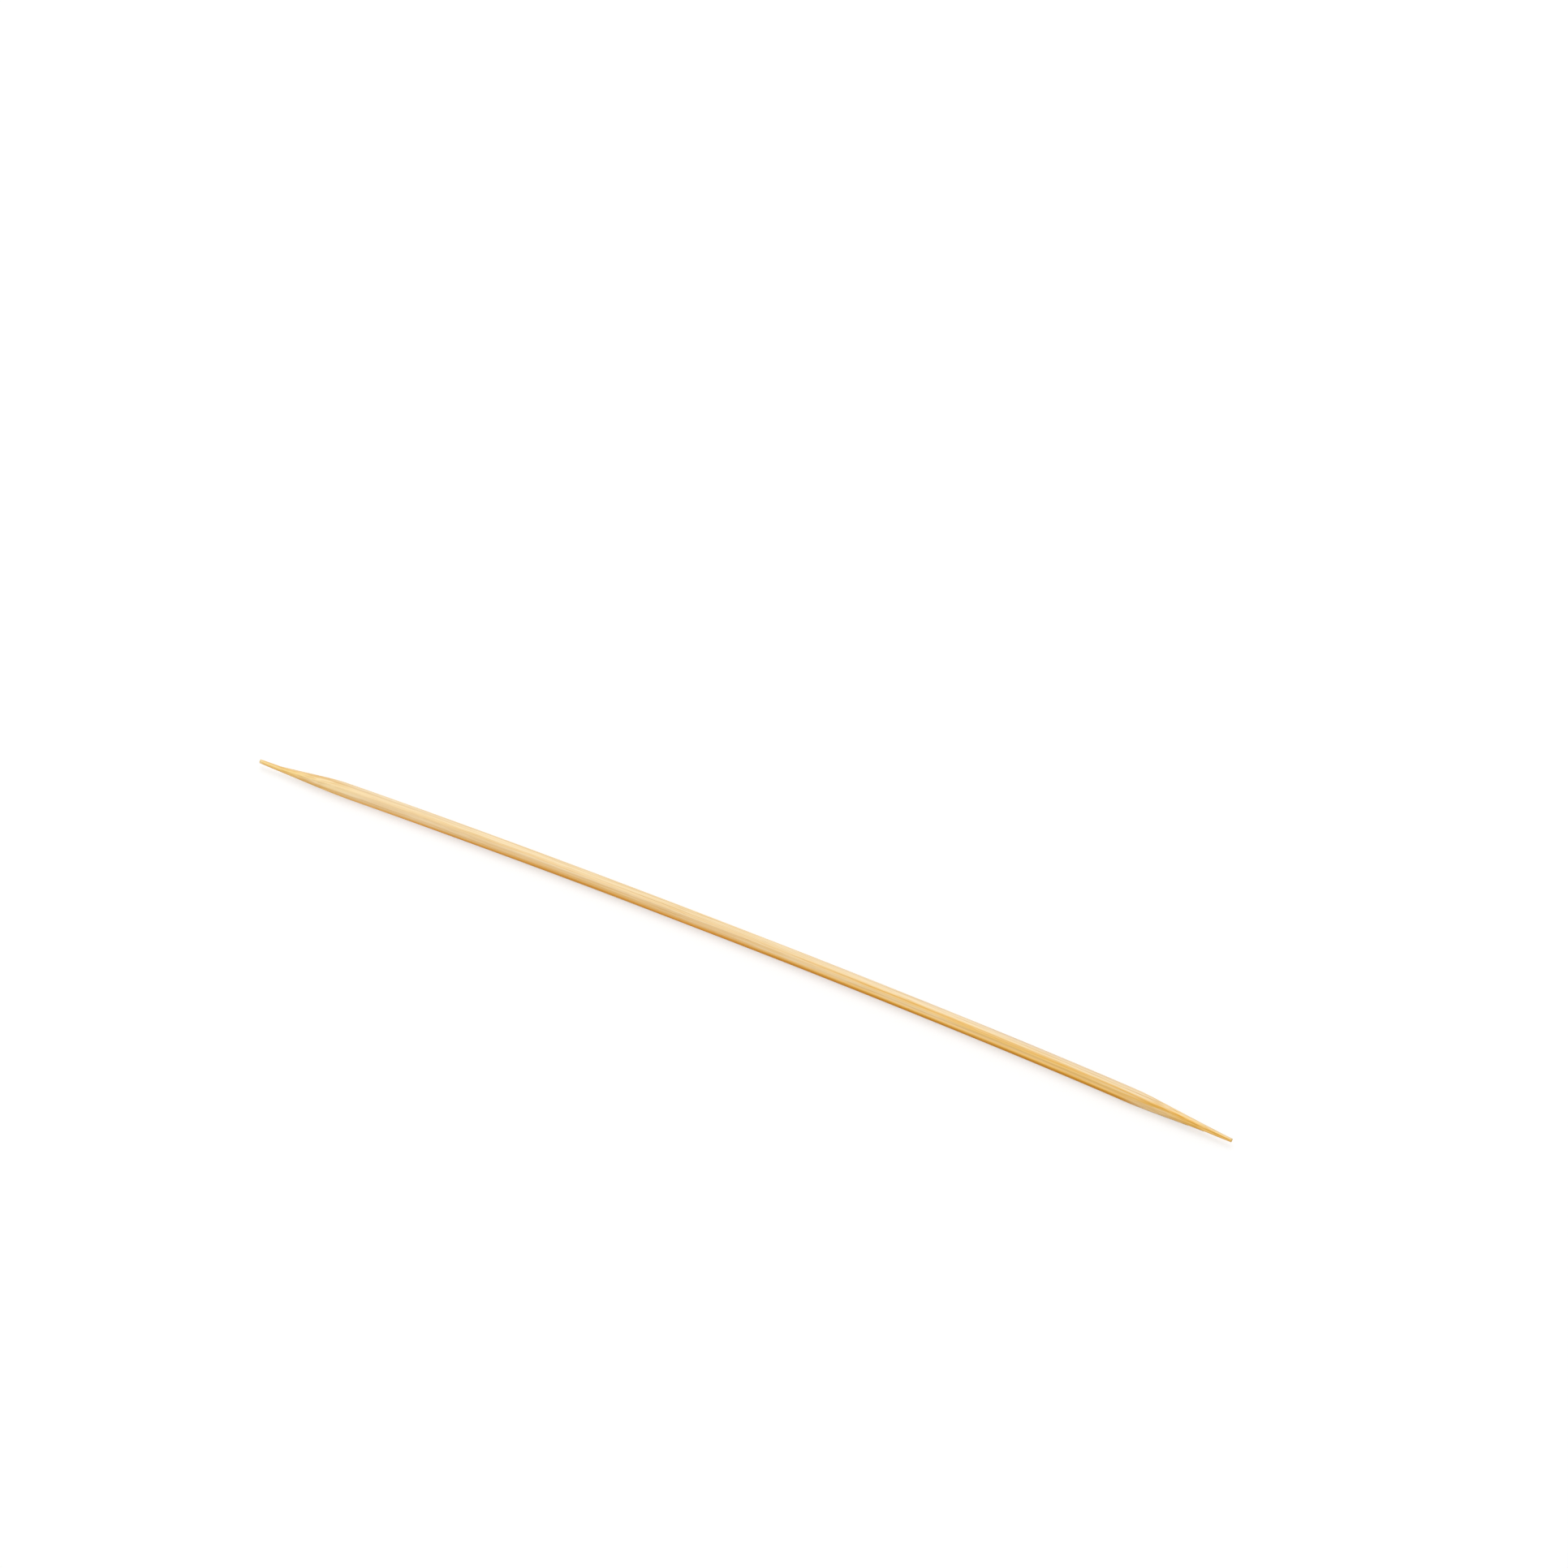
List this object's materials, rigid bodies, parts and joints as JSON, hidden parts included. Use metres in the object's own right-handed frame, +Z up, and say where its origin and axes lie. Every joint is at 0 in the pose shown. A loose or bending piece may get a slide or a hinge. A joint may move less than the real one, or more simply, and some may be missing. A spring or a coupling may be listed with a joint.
{
  "type": "bamboo stick",
  "caption": "Slim, nearly round bamboo stick with a slight bow, long planed flats and a shaved blunt point at each end, for skewering and holding food.",
  "frame": {"origin": "under the middle of the stick's box, on the surface that it lies on", "axes": "+X along the stick towards its longer, six-sided point, +Y towards the outside of its bow, +Z up from the flat that it lies on"},
  "size_m": [0.3, 0.0068, 0.0041],
  "materials": {
    "bamboo": "bare, die-rounded bamboo with fine straight fibres, satin"
  },
  "bodies": {
    "root": {"stick": "bamboo"}
  },
  "joints": []
}
